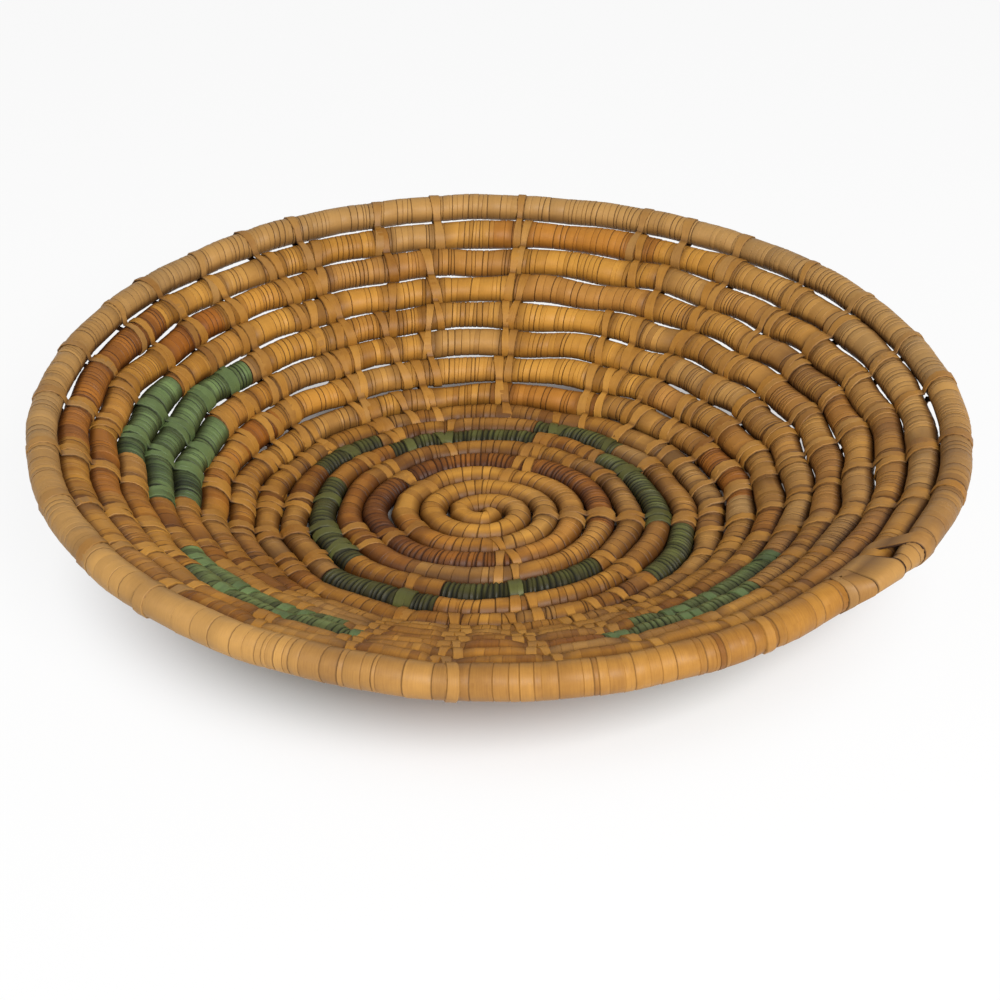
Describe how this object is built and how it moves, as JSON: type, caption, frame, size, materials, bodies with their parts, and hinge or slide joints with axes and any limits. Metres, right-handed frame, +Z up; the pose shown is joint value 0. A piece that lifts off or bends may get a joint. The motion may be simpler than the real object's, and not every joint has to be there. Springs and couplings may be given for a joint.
{
  "type": "coiled basket",
  "caption": "Shallow round coiled basket with a flat base and a flared open wall, wrapped leaf strips over a grass coil with a stepped green pattern, for a wall or a table.",
  "frame": {"origin": "on the surface that the base stands on, under the middle of the basket's outline", "axes": "+Z up out of the bowl, +X to the right as pictured, +Y away from the camera"},
  "size_m": [0.3558, 0.351, 0.0749],
  "materials": {
    "grass_bundle": "dry split grass stems, dull",
    "natural_strip": "smooth flat palm-leaf strip, satin",
    "green_strip": "leaf strip dyed muted green, satin",
    "rust_strip": "leaf strip aged to rust brown, satin",
    "lashing_strip": "leaf strip, satin"
  },
  "bodies": {
    "root": {"foundation_coil": "grass_bundle", "wrap_natural_01": "natural_strip", "wrap_natural_02": "natural_strip", "wrap_natural_03": "natural_strip", "wrap_natural_04": "natural_strip", "wrap_natural_05": "natural_strip", "wrap_natural_06": "natural_strip", "wrap_natural_07": "natural_strip", "wrap_natural_08": "natural_strip", "wrap_natural_09": "natural_strip", "wrap_natural_10": "natural_strip", "wrap_natural_11": "natural_strip", "wrap_natural_12": "natural_strip", "wrap_natural_13": "natural_strip", "wrap_natural_14": "natural_strip", "wrap_natural_15": "natural_strip", "wrap_natural_16": "natural_strip", "wrap_natural_17": "natural_strip", "wrap_natural_18": "natural_strip", "wrap_natural_19": "natural_strip", "wrap_green_base_1": "green_strip", "wrap_green_base_2": "green_strip", "wrap_green_base_3": "green_strip", "wrap_green_base_4": "green_strip", "wrap_green_base_5": "green_strip", "wrap_green_base_6": "green_strip", "wrap_green_base_7": "green_strip", "wrap_green_base_8": "green_strip", "wrap_green_left_1": "green_strip", "wrap_green_left_2": "green_strip", "wrap_green_left_3": "green_strip", "wrap_green_front_left_1": "green_strip", "wrap_green_front_left_2": "green_strip", "wrap_green_front_right_1": "green_strip", "wrap_green_front_right_2": "green_strip", "wrap_rust_base": "rust_strip", "wrap_rust_foot_right": "rust_strip", "wrap_rust_rim_left": "rust_strip", "lashing_wall_01": "lashing_strip", "lashing_wall_02": "lashing_strip", "lashing_wall_03": "lashing_strip", "lashing_wall_04": "lashing_strip", "lashing_wall_05": "lashing_strip", "lashing_wall_06": "lashing_strip", "lashing_wall_07": "lashing_strip", "lashing_wall_08": "lashing_strip", "lashing_wall_09": "lashing_strip", "lashing_wall_10": "lashing_strip", "lashing_base_1": "lashing_strip", "lashing_base_2": "lashing_strip", "lashing_base_3": "lashing_strip", "lashing_base_4": "lashing_strip", "lashing_base_5": "lashing_strip"}
  },
  "joints": []
}
